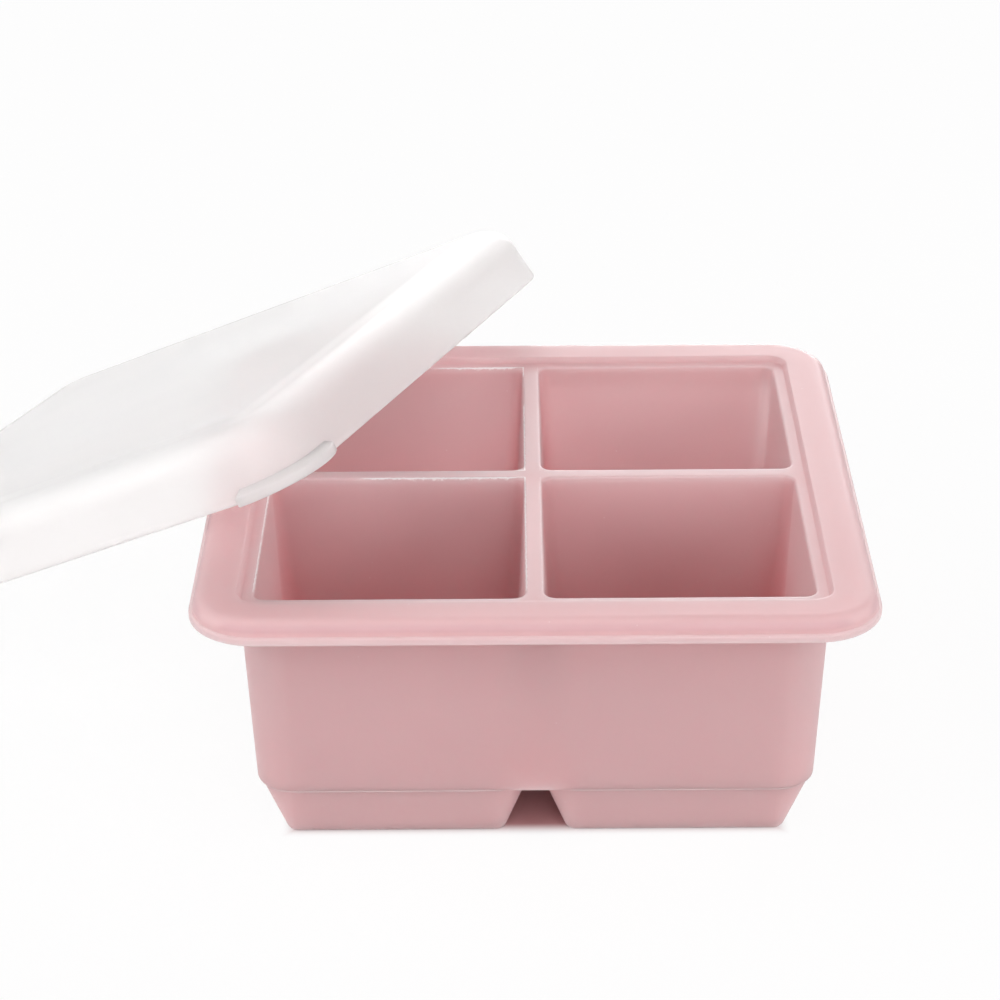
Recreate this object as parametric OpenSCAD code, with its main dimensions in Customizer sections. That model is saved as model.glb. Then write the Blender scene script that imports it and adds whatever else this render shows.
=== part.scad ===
// Freezer tray for portions of baby food: a soft square tray with four cups on four chamfered
// feet, and a stiff lid with a skirt. The lid leans with its underside on the tray's far left
// rim corner and with its lowest skirt corner on the table.
// Millimetres, +Z up, front of the tray towards -Y. The origin is on the table, under the
// middle of the tray.

/* [Piece] */
// Which piece is built

/* [Rim] */
// Width of the square rim over its lower lip
rim_w = 132; // [126:1:138]
// Height of the rim's top above the table
tray_h = 56.5; // [50:0.5:62]
// Corner radius of the rim at the lip
rim_r = 13.3; // [12:0.1:16]
// Rounding of the rim's top edge
rim_round = 2.4; // [1:0.1:2.6]
// How far the lower lip stands out from the rim's side
lip_out = 0.75; // [0.3:0.05:1.2]
// Thickness of the lower lip
lip_t = 1.6; // [1.2:0.1:1.8]
// Thickness of the whole rim
rim_t = 4.5; // [4.3:0.1:6]
// Width of the flat band from the lip to the recess
band_w = 9.6; // [8.5:0.1:10.4]
// Depth of the recess that holds the cups' mouths
step_depth = 1.1; // [0.5:0.1:1.6]
// How far the recess wall slopes in
step_slope = 0.55; // [0.2:0.05:0.8]

/* [Cups] */
// Thickness of the dividers at their tops
divider_t = 2.6; // [2:0.1:4]
// Flat ledge between the recess wall and a cup's mouth
ledge_w = 1.75; // [1:0.05:2.5]
// Corner radius of a cup's mouth
cup_r = 3; // [2.8:0.1:5]
// Rounding of the mouth's edge
mouth_round = 0.5; // [0.2:0.1:0.8]
// Draft of the walls, inside and outside, in degrees
draft = 2.75; // [2:0.05:3.2]
// Thickness of the wall around the cups
wall_t = 2.9; // [2:0.1:3.6]
// Thickness of a cup's floor
floor_t = 2; // [1.6:0.1:3]
// Rounding between a cup's floor and its chamfer
cup_round = 2.8; // [1.5:0.1:3]
// Corner radius of a cup where its chamfer starts
cup_low_r = 7.4; // [7.2:0.1:8.4]

/* [Feet] */
// Height of the shoulder where the feet start
shoulder_z = 12.9; // [11:0.1:15]
// How far the shoulder stands out over the feet
shoulder_out = 0.6; // [0.3:0.05:1]
// Rounding of the shoulder's lower edge
shoulder_round = 0.8; // [0.4:0.1:1.2]
// Outer corner radius of the tray's wall under the rim
body_r = 9.5; // [8:0.1:12]
// How far each side of a foot slopes in
foot_in = 5.2; // [4:0.1:5.4]
// Corner radius of a foot at the shoulder
foot_r = 7; // [7:0.1:9]
// Rounding of a foot's lower edge
foot_round = 2.2; // [1:0.1:2.3]
// Width of the notches between the feet at their tops
notch_w = 2.2; // [1.6:0.1:3]

/* [Lid] */
// Room between the rim's lip and the lid's skirt at the plate
lid_gap = 2.4; // [1.6:0.1:3]
// Thickness of the lid's plate and skirt
lid_t = 1.2; // [1:0.1:1.6]
// Height of the lid from the skirt's edge to the top of the plate
skirt_h = 15; // [13:0.1:17]
// How far the skirt flares out from the plate to its edge
skirt_flare = 1.2; // [0.5:0.1:2]
// Outer corner radius of the lid at its plate
lid_r = 12.2; // [11:0.1:14]
// Rounding between the plate and the skirt
lid_round = 7.2; // [5:0.1:8]
// Height by which the plate's middle panel stands up
panel_up = 0.4; // [0.2:0.1:0.8]
// Distance of the panel's edge from the rounding
panel_in = 0.8; // [0.5:0.1:1.5]
// How far the finger tab stands out at its corner
tab_out = 3.5; // [2:0.1:5]
// Thickness of the finger tab
tab_t = 1.6; // [1.2:0.1:2.4]
// Length of each end step of the finger tab from the corner arc's end
tab_end = 5.8; // [3:0.1:6]

/* [Lean] */
// Turn of the lid about its own front edge, in degrees
lean_x = -3.15; // [-4:0.05:-2]
// Slope of the lid, in degrees
lean_y = -26.35; // [-29:0.05:-24]
// Turn of the lid about the upright, in degrees
lean_z = -20.3; // [-25:0.1:-16]
// How far the lid sits along the rim corner
lean_side = 10.8; // [7:0.1:15]
// Room kept between the lid's underside and the rim corner
lean_gap = 0.32; // [0.3:0.02:0.6]

/* [Hidden] */
$fn = 40;
arc_n = 4;
over = 1;

// Heights of the tray
ledge_z = tray_h - step_depth;
rim_z = tray_h - rim_t;
hip_z = shoulder_z + 1;
drop = tan(draft);

// The rim is swept about one set of corner centres
rim_c = rim_w / 2 - rim_r;
side_x = rim_r - lip_out;

// A cup, between its divider and its ledge
cup_out = rim_w / 2 - band_w - step_slope - ledge_w;
cell = (divider_t / 2 + cup_out) / 2;
cup_h = (cup_out - divider_t / 2) / 2;
wall_h = cup_h - mouth_round;
cup_c = cup_h - cup_r;
hip_h = wall_h - (ledge_z - hip_z) * drop;
cup_low_c = hip_h - cup_low_r;

// The tray's wall, one wall thickness outside the cups
body_h = cup_out - mouth_round + wall_t;
body_c = body_h - body_r;
body_low = body_h - (ledge_z - shoulder_z) * drop;

// A foot, from its notch to under the shoulder
foot_out = body_low - shoulder_out;
foot_at = (notch_w / 2 + foot_out) / 2;
foot_h = (foot_out - notch_w / 2) / 2;
foot_c = foot_h - foot_r;
splay = foot_in / shoulder_z;

// The lid, around the rim
lid_h = rim_w / 2 + lid_gap + lid_t;
lid_c = lid_h - lid_r;
edge_r = lid_r + skirt_flare;
lid_in = lid_r - lid_t;
edge_in = edge_r - lid_t;
panel_x = lid_r - lid_round - panel_in;

// The leaning lid: the direction n of its upright, and where the two supports hold it
n = [
  cos(lean_z) * cos(lean_x) * sin(lean_y) + sin(lean_z) * sin(lean_x),
  sin(lean_z) * cos(lean_x) * sin(lean_y) - cos(lean_z) * sin(lean_x),
  cos(lean_x) * cos(lean_y)
];
flat = norm([n[0], n[1]]);
rise_u = abs(sin(lean_y));
rise_v = abs(cos(lean_y) * sin(lean_x));
lid_z = lid_c * (rise_u + rise_v) + edge_r * norm([rise_u, rise_v]);
corner_reach = rim_c * (abs(n[0]) + abs(n[1])) + (side_x - rim_round) * flat
  + (tray_h - rim_round) * n[2] + rim_round;
lid_s = (corner_reach - lid_z * n[2] - (skirt_h - lid_t) + lean_gap) / flat;
lid_at = [
  lid_s * n[0] / flat + lean_side * n[1] / flat,
  lid_s * n[1] / flat - lean_side * n[0] / flat,
  lid_z
];

// Points of an arc about [x, z], from angle a to angle b
function arc(x, z, r, a, b) = [
  for (i = [0:arc_n]) [x + r * cos(a + (b - a) * i / arc_n), z + r * sin(a + (b - a) * i / arc_n)]
];

// Points of the rounding between a level line below and a wall that leans out by t per unit
// of height, for a profile whose wall would meet the level z at x
function toe(x, z, r, t) =
  let (a = atan(t), xc = x - r * (1 - sin(a)) / cos(a))
  arc(xc, z + r, r, -90, -a);

// A square block with rounded corners: a profile (distance from the corner's centre, height)
// is run along four sides and turned around four corners, about a core from z0 to z1
module swept(c, z0, z1, points) {
  for (q = [0:3]) {
    rotate([0, 0, 90 * q]) {
      translate([c, c, 0]) {
        rotate_extrude(angle = 90) {
          polygon(points);
        }
        rotate([90, 0, 0]) {
          linear_extrude(height = 2 * c) {
            polygon(points);
          }
        }
      }
    }
  }
  translate([-c, -c, z0]) {
    cube([2 * c, 2 * c, z1 - z0]);
  }
}

// The four quarters of the tray, each about a centre at the given distance
module four(at) {
  for (x = [-1, 1]) {
    for (y = [-1, 1]) {
      translate([x * at, y * at, 0]) {
        children();
      }
    }
  }
}

// The rim: side, rounded top edge and the lip that stands out below
module rim() {
  lip_round = 0.4;
  swept(rim_c, rim_z, tray_h, concat(
    [[0, rim_z]],
    arc(rim_r - lip_round, rim_z + lip_round, lip_round, -90, 0),
    arc(rim_r - lip_round, rim_z + lip_t - lip_round, lip_round, 0, 90),
    [[side_x, rim_z + lip_t]],
    arc(side_x - rim_round, tray_h - rim_round, rim_round, 0, 90),
    [[0, tray_h]]
  ));
}

// The drafted wall around the cups, from its rounded shoulder up into the rim
module body() {
  low_r = body_low - body_c;
  top_r = body_h - body_c - (ledge_z - rim_z) * drop;
  swept(body_c, shoulder_z, rim_z + over, concat(
    [[0, shoulder_z]],
    arc(low_r - shoulder_round, shoulder_z + shoulder_round, shoulder_round, -90, 0),
    [[top_r, rim_z], [top_r, rim_z + over], [0, rim_z + over]]
  ));
}

// One foot: its corners shrink with its slope, down to a rounded lower edge
module foot() {
  low_r = foot_r - foot_in;
  swept(foot_c, 0, shoulder_z + over, concat(
    [[0, 0]],
    toe(low_r, 0, foot_round, splay),
    [[foot_r, shoulder_z], [foot_r, shoulder_z + over], [0, shoulder_z + over]]
  ));
}

// The recess that holds the four mouths
module recess() {
  floor_r = rim_r - band_w - step_slope;
  swept(rim_c, ledge_z, tray_h + over, [
    [0, ledge_z],
    [floor_r, ledge_z],
    [floor_r + step_slope, tray_h],
    [floor_r + step_slope, tray_h + over],
    [0, tray_h + over]
  ]);
}

// The room of one cup: the drafted mouth crossed with a chamfered bowl that widens upwards,
// so the bowl's rounder corners run out into the mouth's tighter ones
module cup() {
  top = tray_h + over;
  hip_r = hip_h - cup_c;
  bowl_r = cup_low_r - (hip_z - floor_t) * splay;
  intersection() {
    swept(cup_c, floor_t - over, top, concat(
      [[0, floor_t - over], [hip_r, floor_t - over], [hip_r, hip_z]],
      [[wall_h - cup_c, ledge_z - mouth_round]],
      [for (i = [1:arc_n]) [cup_r - mouth_round * cos(90 * i / arc_n),
        ledge_z - mouth_round + mouth_round * sin(90 * i / arc_n)]],
      [[cup_r, top], [0, top]]
    ));
    swept(cup_low_c, floor_t, top + over, concat(
      [[0, floor_t]],
      toe(bowl_r, floor_t, cup_round, splay),
      [[bowl_r + (top + over - floor_t) * splay, top + over], [0, top + over]]
    ));
  }
}

module tray() {
  color([0.85, 0.72, 0.73]) {
    difference() {
      union() {
        rim();
        body();
        four(foot_at) {
          foot();
        }
      }
      recess();
      four(cell) {
        cup();
      }
    }
  }
}

// The thin finger tab: part of a disc outside the skirt at one corner
module tab() {
  tab_c = lid_c + (edge_r - tab_r()) / sqrt(2) + tab_out / sqrt(2);
  intersection() {
    translate([tab_c, -tab_c, 0]) {
      cylinder(h = tab_t, r = tab_r());
    }
    translate([lid_c - tab_end, -lid_c + tab_end - 40, 0]) {
      cube([40, 40, tab_t]);
    }
  }
}

function tab_r() = edge_r + 1.8;

// The lid in its own place: the skirt's edge at height 0, the plate on top
module lid_shape() {
  plate = skirt_h - panel_up;
  room = skirt_h - lid_t;
  difference() {
    union() {
      swept(lid_c, 0, plate, concat(
        [[0, 0], [edge_r, 0], [lid_r, plate - lid_round]],
        [for (i = [1:arc_n]) [lid_r - lid_round + lid_round * cos(90 * i / arc_n),
          plate - lid_round + lid_round * sin(90 * i / arc_n)]],
        [[0, plate]]
      ));
      swept(lid_c, plate - over / 4, skirt_h, [
        [0, plate - over / 4],
        [panel_x, plate - over / 4],
        [panel_x, plate],
        [panel_x - panel_up, skirt_h],
        [0, skirt_h]
      ]);
      tab();
    }
    swept(lid_c, -over, room, concat(
      [[0, -over], [edge_in, -over], [edge_in, 0], [lid_in, plate - lid_round]],
      [for (i = [1:arc_n - 1]) [lid_r - lid_round + (lid_round - lid_t) * cos(90 * i / arc_n),
        plate - lid_round + (room + lid_round - plate) * sin(90 * i / arc_n)]],
      [[lid_r - lid_round, room], [0, room]]
    ));
  }
}

module lid() {
  color([0.96, 0.95, 0.95, 0.8]) {
    translate(lid_at) {
      rotate([lean_x, lean_y, lean_z]) {
        lid_shape();
      }
    }
  }
}

tray();
lid();
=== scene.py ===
from math import atan, cos, radians, sin, sqrt, tan

import bmesh
import bpy
from mathutils import Euler, Matrix, Vector


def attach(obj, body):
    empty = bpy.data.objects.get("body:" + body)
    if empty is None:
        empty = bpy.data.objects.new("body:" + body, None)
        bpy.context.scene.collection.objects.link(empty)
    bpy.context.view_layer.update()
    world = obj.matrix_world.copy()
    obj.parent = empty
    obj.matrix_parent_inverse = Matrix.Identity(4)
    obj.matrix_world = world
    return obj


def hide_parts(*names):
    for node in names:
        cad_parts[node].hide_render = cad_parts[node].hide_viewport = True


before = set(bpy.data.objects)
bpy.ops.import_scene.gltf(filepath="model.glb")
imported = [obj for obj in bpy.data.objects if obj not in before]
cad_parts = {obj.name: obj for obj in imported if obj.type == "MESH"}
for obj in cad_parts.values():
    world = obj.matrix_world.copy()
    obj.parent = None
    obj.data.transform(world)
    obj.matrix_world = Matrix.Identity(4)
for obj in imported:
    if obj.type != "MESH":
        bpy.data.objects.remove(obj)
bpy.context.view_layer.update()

# Tray: four deep cups under one broad rim, moulded in one piece of soft dusty pink silicone. Rings are
# extruded through the levels of its outside, its cups and its feet. The ledge round the mouths and the web
# over the notches between the feet are filled between those rings. Lengths are in millimetres.
MM = 0.001
draft = tan(radians(2.75))
splay = 5.2 / 12.9
tilt = atan(splay)
chamfer = -21.95  # direction square to the chamfer, in degrees

# Heights above the table
top = 56.5
ledge = 55.4
mouth_z = 54.9
lip_z = 53.2
rim_low = 52.0
hip = 13.9  # where a cup's chamfer starts
shoulder = 12.9  # where the feet start
floor_z = 2

# Places of the corner centres, from the middle of their ring, and half widths
rim_c = 52.7
body_c = 47.5
mouth_c = 23.4
floor_c = 16.4
foot_c = 19.6
cup_mid = 27.7
wall_half = 57.0
cup_half = 25.9

# Corner radii seen from above. The last line holds heights and radii down a cup
lip_r = 12.9
rim_r = 12.55
band_out_r = 9.6
band_in_r = 4.6
step_out_r = 4.25
step_in_r = 3.05
ledge_r = 2.7
mouth_r = 3.0
hip_r = 7.25
cup_low_r = 7.4
foot_r = 7.0
sole_r = 1.8
cup_corners = ((53.9, 2.5), (44, 2.7), (34, 3.0), (26, 3.9), (20, 5.3), (16, 6.6), (14.4, 7.1))

# Roundings, and how far the straight stretches end from them
shoulder_round = 0.8
root_round = 1.0
lip_round = 0.4
rim_round = 2.4
step_round = 0.4
mouth_round = 0.5
cup_round = 2.8
foot_round = 2.2
foot_fillet = 0.25
foot_start = 0.7
foot_end = 1.9
wall_end = 1.8
cup_end = 4.6
rim_steps = 14
cup_steps = 10


def feed(node, sockets):
    """Links values to a node's sockets, by name or number, and sets those whose value is plain."""
    for name, value in sockets.items():
        if isinstance(value, Val):
            value.tree.links.new(value.socket, node.inputs[name])
        else:
            node.inputs[name].default_value = value


class Val:
    """A number or a vector in a node tree."""

    def __init__(self, tree, socket):
        self.tree, self.socket = tree, socket

    def node(self, kind, sockets=None, out=0, **settings):
        """Adds a node with its settings and sockets, and returns one of its outputs."""
        made = self.tree.nodes.new(kind)
        for name, value in settings.items():
            setattr(made, name, value)
        feed(made, sockets or {})
        return Val(self.tree, made.outputs[out])

    def math(self, operation, *values):
        return self.node("ShaderNodeMath", dict(enumerate(values)), operation=operation)

    def __add__(self, other):
        return self.math("ADD", self, other)

    __radd__ = __add__

    def __mul__(self, other):
        return self.math("MULTIPLY", self, other)

    __rmul__ = __mul__

    def __sub__(self, other):
        return self.math("SUBTRACT", self, other)

    def __rsub__(self, other):
        return self.math("SUBTRACT", other, self)

    def __abs__(self):
        return self.math("ABSOLUTE", self)

    def biggest(self, other):
        return self.math("MAXIMUM", self, other)

    def smallest(self, other):
        return self.math("MINIMUM", self, other)

    def step(self, a, b, to=(0, 1)):
        """Goes smoothly from to[0] where this is a to to[1] where it is b."""
        ends = {0: self, 1: a, 2: b, 3: to[0], 4: to[1]}
        return self.node("ShaderNodeMapRange", ends, interpolation_type="SMOOTHSTEP", clamp=True)

    def between(self, a, b):
        """From a where this is 0 to b where it is 1."""
        return self.node("ShaderNodeMapRange", {0: self, 3: a, 4: b})

    def part(self, axis):
        """One axis of a place, in millimetres."""
        return self.node("ShaderNodeSeparateXYZ", {0: self}, axis) * (1 / MM)

    def noise(self, scale, detail=2.0, rough=0.5):
        sockets = {"Vector": self, "Scale": scale, "Detail": detail, "Roughness": rough}
        return self.node("ShaderNodeTexNoise", sockets)

    def cells(self, scale):
        return self.node("ShaderNodeTexVoronoi", {"Vector": self, "Scale": scale})

    def bump(self, strength, depth):
        sockets = {"Strength": strength, "Distance": depth * MM, "Height": self}
        return self.node("ShaderNodeBump", sockets)

    def mix(self, a, b):
        """Colour a where this is 0 and colour b where it is 1."""
        a, b = (color if isinstance(color, Val) else (*color, 1) for color in (a, b))
        return self.node("ShaderNodeMix", {0: self, 6: a, 7: b}, 2, data_type="RGBA")


def material(name, color):
    """A material, its shader and its object coordinates."""
    made = bpy.data.materials.new(name)
    made.use_nodes = True
    made.diffuse_color = (*color, 1)
    tree = made.node_tree
    shader = tree.nodes["Principled BSDF"]
    return made, shader, Val(tree, tree.nodes.new("ShaderNodeTexCoord").outputs["Object"])


silicone, shader, at = material("silicone", (0.80, 0.60, 0.615))
x, y, z = abs(at.part(0)), abs(at.part(1)), at.part(2)
mouth = abs(x - cup_mid).biggest(abs(y - cup_mid)) - 26.1
wall = x.biggest(y)
cloud = at.noise(26, 3).step(0.35, 0.65)
pink = cloud.mix((0.66, 0.402, 0.412), (0.68, 0.416, 0.426))

# Painted shade: darker where the rim's bead turns under, and where the dividers stand behind the outer wall
painted_bead_shade = z.step(54.0, 54.8) * z.step(56.3, 55.4) * wall.step(62.5, 64)
pink = (painted_bead_shade * 0.6).mix(pink, (0.56, 0.335, 0.36))
# Painted shade on the outer wall where the dividers stand behind it
painted_divider_shade = x.smallest(y).step(9, 1.5) * z.step(14, 46, (0.25, 1))
painted_divider_shade = painted_divider_shade * wall.step(54, 54.6) * z.step(52.6, 51.6)
pink = (painted_divider_shade * 0.8).mix(pink, (0.61, 0.405, 0.415))

# Painted shade and pink bounce light, deeper down the cups.
# A surface that follows the draft and the chamfers parts the cups from the outside
inside = mouth - z.smallest(shoulder) * splay - z.biggest(shoulder) * 0.04
inside = inside.step(-7.0, -7.25) * z.step(0.8, 1.2)
pink = (inside * z.step(48, 14)).mix(pink, (0.73, 0.375, 0.385))

# Pale specks of dust, and a pale ragged flash line round the mouths on the left
dust = at.cells(260).step(0.06, 0.03) * at.noise(60, 1).step(0.55, 0.62)
pink = (dust * 0.35).mix(pink, (0.80, 0.66, 0.66))
ragged = (at.noise(900, 3, 0.6) - 0.5) * 0.35
flash = abs(mouth + ragged).step(0.2, 0.06) * z.step(mouth_z - 0.4, mouth_z)
flash = flash * at.noise(60).step(0.38, 0.5) * at.part(0).step(2, 0.5) * at.part(1).step(-51, -50)
pink = (flash * 0.8).mix(pink, (0.95, 0.86, 0.85))

feed(shader, {
    "Base Color": pink,
    "Roughness": cloud.between(0.44, 0.52),
    "Normal": at.noise(420).bump(0.12, 0.2),
    "Specular IOR Level": 0.4,
    "Sheen Weight": 0.12,
    "Sheen Roughness": 0.4,
    "Subsurface Weight": 1.0,
    "Subsurface Radius": (1.0, 0.9, 0.9),
    "Subsurface Scale": 16 * MM,
})


def arc(x, z, r, a, b, n):
    """Points on an arc about (x, z), from angle a to angle b in degrees."""
    steps = [radians(a + (b - a) * i / n) for i in range(n + 1)]
    return [(x + r * cos(s), z + r * sin(s)) for s in steps]


def rounded_ring(bm, n):
    """A ring for a rounded square, n steps a corner. Each vertex holds its corner and its way from there."""
    side = bm.verts.layers.float_vector.get("side") or bm.verts.layers.float_vector.new("side")
    way = bm.verts.layers.float_vector.get("way") or bm.verts.layers.float_vector.new("way")
    ring = bmesh.ops.create_circle(bm, segments=4 * (n + 1), radius=1)["verts"]
    for k, v in enumerate(ring):
        q, i = divmod(k, n + 1)
        turn = radians(90 * q + 90 * i / n)
        v[side] = ((1, -1, -1, 1)[q], (1, 1, -1, -1)[q], 0)
        v[way] = (cos(turn), sin(turn), 0)
    return ring


def place(bm, ring, middle, c, r, z):
    """Puts a ring at height z, with corner centres c from the middle and corner radius r."""
    side, way = bm.verts.layers.float_vector["side"], bm.verts.layers.float_vector["way"]
    for v in ring:
        v.co = Vector((*middle, z)) + c * v[side] + r * v[way]


def extruded(bm, edges):
    """Extrudes edges and returns the new vertices and edges."""
    made = bmesh.ops.extrude_edge_only(bm, edges=edges)["geom"]
    moved = [g for g in made if isinstance(g, bmesh.types.BMVert)]
    return moved, [g for g in made if isinstance(g, bmesh.types.BMEdge)]


def swept(bm, middle, levels, n):
    """Extrudes a ring through levels (c, r, z) and returns the edges of its first and last ring."""
    ring = rounded_ring(bm, n)
    place(bm, ring, middle, *levels[0])
    first = edges = list(dict.fromkeys(e for v in ring for e in v.link_edges))
    for level in levels[1:]:
        ring, edges = extruded(bm, edges)
        place(bm, ring, middle, *level)
    return first, edges


def rings(c, points):
    """Levels with one corner centre, from points (r, z)."""
    return [(c, r, z) for r, z in points]


def slope_centre(r, size):
    """Where the centre of a rounding lies that ends in a slope, which would meet the floor at r."""
    return r - size * (1 - sin(tilt)) / cos(tilt)


def piece(bm, name, material, body):
    """Turns a bmesh in millimetres into an object that rides on a CAD body."""
    bmesh.ops.recalc_face_normals(bm, faces=bm.faces)
    bmesh.ops.scale(bm, vec=(MM, MM, MM), verts=bm.verts)
    mesh = bpy.data.meshes.new(name)
    bm.to_mesh(mesh)
    bm.free()
    mesh.shade_smooth()
    mesh.set_sharp_from_angle(angle=radians(38))
    mesh.materials.append(material)
    made = bpy.data.objects.new(name, mesh)
    bpy.context.collection.objects.link(made)
    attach(made, body)
    return made


bm = bmesh.new()
low_r = wall_half - body_c - (ledge - shoulder) * draft
root_r = wall_half - body_c - (ledge - rim_low) * draft
lip = arc(lip_r, rim_low + lip_round, lip_round, -90, 0, 4) + arc(lip_r, lip_z, lip_round, 0, 90, 4)
crease = [(12.62, 53.62), (rim_r, 53.8)]
outside = rings(body_c, [(low_r - 1.3, shoulder)])
outside += rings(body_c, arc(low_r - shoulder_round, shoulder + shoulder_round, shoulder_round, -90, 0, 4))
outside += rings(body_c, [(low_r + draft, shoulder + wall_end), (root_r - 1.6 * draft, rim_low - wall_end)])
outside += rings(body_c, arc(root_r + root_round, rim_low - root_round, root_round, 180, 90, 4))
outside += rings(body_c, [(root_r + 1.6, rim_low)])
outside += rings(rim_c, [(12.3, rim_low)] + lip + crease)
outside += rings(rim_c, arc(rim_r - rim_round, top - rim_round, rim_round, 0, 90, 8))
outside += rings(rim_c, [(band_out_r, top), (band_in_r, top)])
outside += rings(rim_c, arc(step_out_r, top - step_round, step_round, 90, 150, 3))
outside += rings(rim_c, arc(step_in_r, ledge + step_round, step_round, 300, 270, 2) + [(ledge_r, ledge)])
bottom, inner = swept(bm, (0, 0), outside, rim_steps)

mouths, tops = [], []
for side_x, side_y in ((1, 1), (-1, 1), (-1, -1), (1, -1)):
    middle = (cup_mid * side_x, cup_mid * side_y)
    cup = rings(mouth_c, [(mouth_r + 0.25, ledge)] + arc(mouth_r, mouth_z, mouth_round, 90, 180, 4))
    for height, r in cup_corners:
        half = cup_half - (mouth_z - height) * draft
        cup.append((half - r, r, height))
    half = cup_half - (mouth_z - hip) * draft
    cup.append((half - hip_r - 0.05, hip_r, hip - 0.3))
    low = cup_low_r - (hip - floor_z) * splay
    turn = arc(slope_centre(low, cup_round), floor_z + cup_round, cup_round, chamfer, -90, 5)
    cup += rings(floor_c, [(low + cup_end * splay, floor_z + cup_end)] + turn)
    mouth_edge, floor_edge = swept(bm, middle, cup, cup_steps)
    bmesh.ops.edgeloop_fill(bm, edges=floor_edge)
    mouths += mouth_edge
    foot = [(foot_r + foot_fillet, shoulder), (foot_r - 0.1, shoulder - foot_fillet)]
    foot += [(foot_r - foot_start * splay, shoulder - foot_start), (sole_r + foot_end * splay, foot_end)]
    foot += arc(slope_centre(sole_r, foot_round), foot_round, foot_round, chamfer, -90, 5)
    foot_edge, sole = swept(bm, middle, rings(foot_c, foot), cup_steps)
    bmesh.ops.edgeloop_fill(bm, edges=sole)
    tops += foot_edge
bmesh.ops.triangle_fill(bm, use_beauty=True, edges=inner + mouths)
bmesh.ops.triangle_fill(bm, use_beauty=True, edges=bottom + tops)
tray = piece(bm, "tray_body", silicone, "tray")
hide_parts("tray")

# Lid: a stiff cover of milky frosted plastic, moulded in one piece: a plate with a rounded edge, a flared
# skirt and a slightly raised panel. A ring is extruded from the underside of the plate, round the skirt's
# edge, to the panel on top. It is built level and then leaned on the tray's rim.
lid_c = 57.3
lid_r = 12.2
edge_r = 13.4  # corner radius at the skirt's flared edge
plate = 14.6  # height of the plate's top over the skirt's edge
plate_low = 13.8
skirt_z = plate - 7.2  # where the plate's rounding starts
skirt_t = 1.25
edge_round = 0.6
round_c = 5.0
outer_round = 7.15
inner_round = 6.0
inner_rise = 6.4
panel = ((4.5, plate + 0.01), (3.7, 14.72), (2.5, 14.9), (1.6, 14.98), (0.8, 15))
lean = Euler((radians(-3.15), radians(-26.35), radians(-20.3))).to_matrix()
lid_at = Vector((-80.345, 53.751, 34.288))

frosted, shader, at = material("frosted", (0.95, 0.94, 0.94))
square = lean.col[2]
height = at.node("ShaderNodeVectorMath", {0: at, 1: square}, 1, operation="DOT_PRODUCT") * (1 / MM)
# Painted shade: the skirt is darker and greyer than the plate
skirt = (height - square.dot(lid_at)).step(13.6, 9)
flow = at.noise(16, 3).step(0.3, 0.7)
milk = flow.mix((0.985, 0.972, 0.968), (0.995, 0.99, 0.99))
feed(shader, {
    "Base Color": (skirt * 0.4).mix(milk, (0.93, 0.90, 0.895)),
    "Roughness": flow.between(0.42, 0.52),
    "Normal": at.noise(900).bump(0.1, 0.1),
    "Transmission Weight": 0.6,
    "IOR": 1.3,
    "Coat Weight": 0.12,
    "Coat Roughness": 0.5,
})


def leaned(bm):
    """Brings what was built level to where the lid leans."""
    bmesh.ops.rotate(bm, verts=bm.verts, matrix=lean)
    bmesh.ops.translate(bm, verts=bm.verts, vec=lid_at)


bm = bmesh.new()
hollow = arc(round_c, skirt_z, inner_round, 90, 0, 8)
around = [(4.4, plate_low)]
around += [(r, skirt_z + (z - skirt_z) * inner_rise / inner_round) for r, z in hollow]
around += [(edge_r - skirt_t, 1.0)] + arc(edge_r - edge_round, edge_round, edge_round, 180, 360, 6)
around += [(edge_r - 0.15, 1.6), (lid_r + 0.1, skirt_z - 0.6)]
around += arc(round_c, skirt_z, outer_round, 0, 90, 12) + list(panel)
under, over = swept(bm, (0, 0), rings(lid_c, around), rim_steps)
bmesh.ops.edgeloop_fill(bm, edges=under)
bmesh.ops.edgeloop_fill(bm, edges=over)
leaned(bm)
lid = piece(bm, "lid_shell", frosted, "lid")
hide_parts("lid")

# Finger tab: a lip for a fingertip, of the same plastic, moulded on the skirt's edge at the lid's corner
# over the tray. One small section is extruded round the corner and a little way along the side, its outer
# face is drawn out to a wider arc, and its edges are bevelled.
corner = Vector((lid_c, -lid_c, 0))
tab_section = ((12.7, 0.1), (13.9, 0.1), (13.9, 2.2), (12.7, 3.0))
tab_start = radians(8)
tab_turn = radians(82)
tab_steps = 14
tab_run = 5.8
run_steps = 2
tab_r = 15.2
tab_out = 3.5
tab_c = lid_c + (edge_r - tab_r + tab_out) / sqrt(2)
tab_round = 0.35

bm = bmesh.new()
section = [bm.verts.new((corner.x, corner.y - r, z)) for r, z in tab_section]
bmesh.ops.rotate(bm, verts=section, cent=corner, matrix=Matrix.Rotation(tab_start, 3, "Z"))
loop = first = [bm.edges.new((section[i], section[(i + 1) % 4])) for i in range(4)]
for i in range(tab_steps):
    moved, loop = extruded(bm, loop)
    bmesh.ops.rotate(bm, verts=moved, cent=corner, matrix=Matrix.Rotation(tab_turn / tab_steps, 3, "Z"))
for i in range(run_steps):
    moved, loop = extruded(bm, loop)
    bmesh.ops.translate(bm, verts=moved, vec=(0, tab_run / run_steps, 0))
bmesh.ops.edgeloop_fill(bm, edges=first)
bmesh.ops.edgeloop_fill(bm, edges=loop)
for v in bm.verts:
    from_corner = Vector((max(v.co.x - corner.x, 0), min(v.co.y - corner.y, 0), 0))
    if from_corner.length > (tab_section[0][0] + tab_section[1][0]) / 2:
        out = from_corner.normalized()
        base = v.co - Vector((tab_c, -tab_c, v.co.z))
        along = base.dot(out)
        v.co += out * (-along + sqrt(along * along - base.length_squared + tab_r**2))
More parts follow.
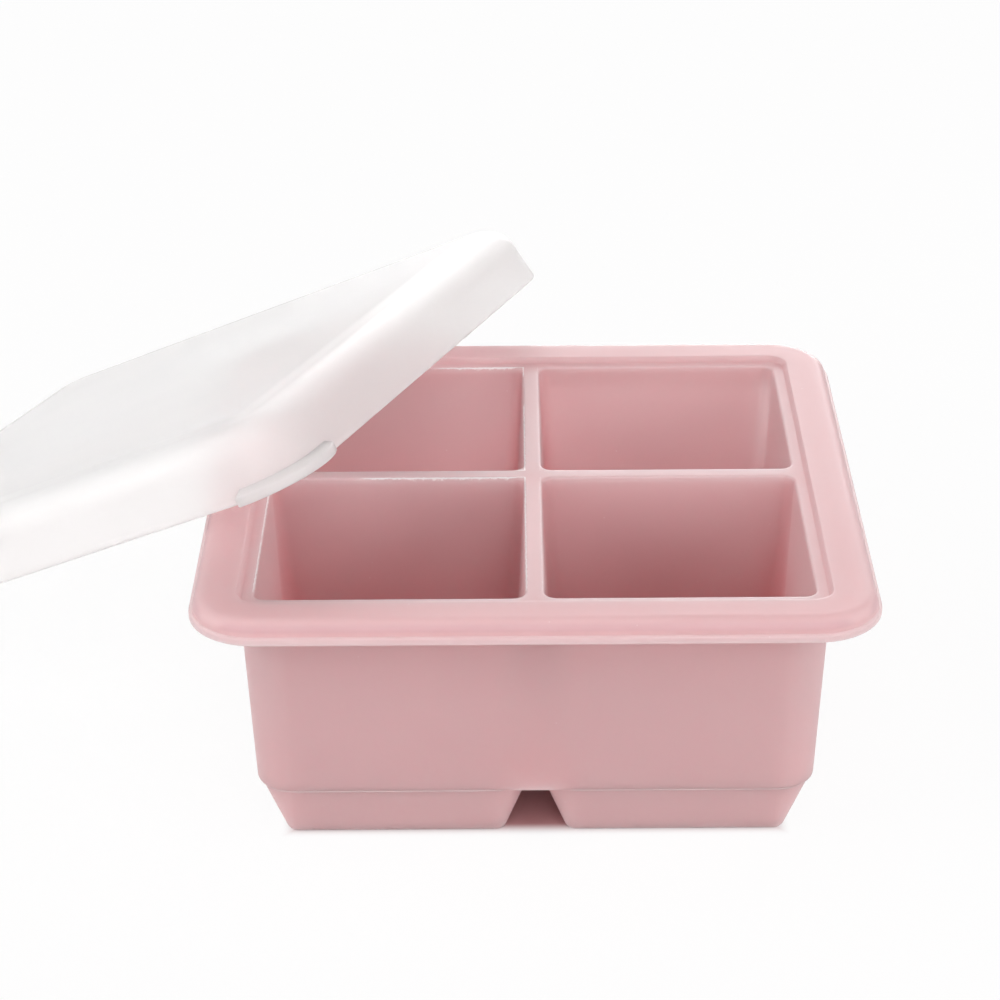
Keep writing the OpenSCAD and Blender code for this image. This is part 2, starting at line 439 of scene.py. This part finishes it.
bmesh.ops.bevel(
    bm,
    geom=list(bm.edges),
    affect="EDGES",
    offset=tab_round,
    segments=3,
    profile=0.5,
    material=-1,
    clamp_overlap=True,
)
leaned(bm)
tab = piece(bm, "lid_tab", frosted, "lid")
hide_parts("lid")

# Table: one large flat sheet of white paper. It throws back the lamps' light as paper does, and the camera
# sees it white, but shaded right under the tray, where it is painted pink as if lit through the silicone.
table_half = 6
table_mesh = bpy.data.meshes.new("floor")
bm = bmesh.new()
bmesh.ops.create_grid(bm, x_segments=1, y_segments=1, size=table_half)
bm.to_mesh(table_mesh)
bm.free()
table = bpy.data.objects.new("floor", table_mesh)
bpy.context.collection.objects.link(table)


def emptied(tree):
    """Clears a node tree and gives a mask of the rays that see white."""
    tree.nodes.clear()
    path = tree.nodes.new("ShaderNodeLightPath").outputs
    camera = Val(tree, path["Is Camera Ray"])
    glossy = Val(tree, path["Is Glossy Ray"])
    through = Val(tree, path["Is Transmission Ray"])
    return camera.biggest(glossy).biggest(through)


paper = bpy.data.materials.new("paper")
paper.use_nodes = True
tree = paper.node_tree
seen = emptied(tree)
at = Val(tree, tree.nodes.new("ShaderNodeTexCoord").outputs["Object"])
under = abs(at.part(0)).biggest(abs(at.part(1))).step(51, 46)
matt = seen.node("ShaderNodeBsdfDiffuse", {"Color": (0.92, 0.905, 0.905, 1)})
bare = seen.node("ShaderNodeBsdfDiffuse", {"Color": (0.80, 0.775, 0.782, 1)})
# Painted pink light under the tray, standing in for light passed through the silicone
painted_pink_light = seen.node("ShaderNodeBsdfDiffuse", {"Color": (0.66, 0.36, 0.37, 1)})
shown = seen.node("ShaderNodeMixShader", {0: under, 1: bare, 2: painted_pink_light})
glow = seen.node("ShaderNodeEmission", {"Color": (1, 1, 1, 1), "Strength": 1.02})
lit = seen.node("ShaderNodeMixShader", {0: under * 0.91 + 0.09, 1: glow, 2: shown})
both = seen.node("ShaderNodeMixShader", {0: seen, 1: matt, 2: lit})
feed(tree.nodes.new("ShaderNodeOutputMaterial"), {"Surface": both})
table_mesh.materials.append(paper)

# Studio: a white surround that gives almost no light of its own, and soft square lamps round the tray,
# turned to it. The strongest stands low behind it.
world = bpy.data.worlds.new("studio")
bpy.context.scene.world = world
world.use_nodes = True
tree = world.node_tree
seen = emptied(tree)
dome = seen.node("ShaderNodeBackground", {"Color": (1, 0.985, 0.98, 1), "Strength": 0.02})
white = seen.node("ShaderNodeBackground", {"Color": (1, 1, 1, 1), "Strength": 1.0})
both = seen.node("ShaderNodeMixShader", {0: seen, 1: dome, 2: white})
feed(tree.nodes.new("ShaderNodeOutputWorld"), {"Surface": both})

lamp_size = 1.5
lamp_aim = Vector((0, 0, 0.04))
for name, spot, power in (
    ("over", (0, 0, 2.25), 7),
    ("behind", (0.25, 2.75, 0.35), 45),
    ("front_high", (0.25, -2.0, 2.25), 28),
    ("front_low", (0.25, -3.25, 0.875), 25),
    ("left", (-2.5, -0.75, 1.125), 32),
    ("left_high", (-2.0, 0.75, 2.0), 9),
    ("right", (2.5, -0.75, 1.125), 32),
):
    light = bpy.data.lights.new(name, "AREA")
    light.shape = "SQUARE"
    light.size = lamp_size
    light.energy = power
    lamp = bpy.data.objects.new(name, light)
    lamp.location = spot
    lamp.rotation_euler = (lamp_aim - Vector(spot)).to_track_quat("-Z", "Y").to_euler()
    bpy.context.collection.objects.link(lamp)

# Camera: stands in front of the tray and looks down on it. Its place, turn and focal length were solved
# from the photograph.
sensor = 36
picture = 1000
focal = 2944.7  # in pixels of the picture
pitch = radians(26.579)
yaw = radians(-0.299)
roll = radians(-0.520)
stand = Vector((-0.003921, -0.54511, 0.32208))
camera = bpy.data.cameras.new("camera")
camera.sensor_width = sensor
camera.lens = focal * sensor / picture
camera.clip_end = 20
ahead = Vector((sin(yaw) * cos(pitch), cos(yaw) * cos(pitch), -sin(pitch)))
right = Vector((cos(yaw), -sin(yaw), 0))
up = right.cross(ahead)
right, up = cos(roll) * right + sin(roll) * up, cos(roll) * up - sin(roll) * right
eye = bpy.data.objects.new("camera", camera)
eye.matrix_world = Matrix.Translation(stand) @ Matrix((right, up, -ahead)).transposed().to_4x4()
bpy.context.collection.objects.link(eye)
bpy.context.scene.camera = eye
bpy.context.scene.view_settings.view_transform = "Standard"
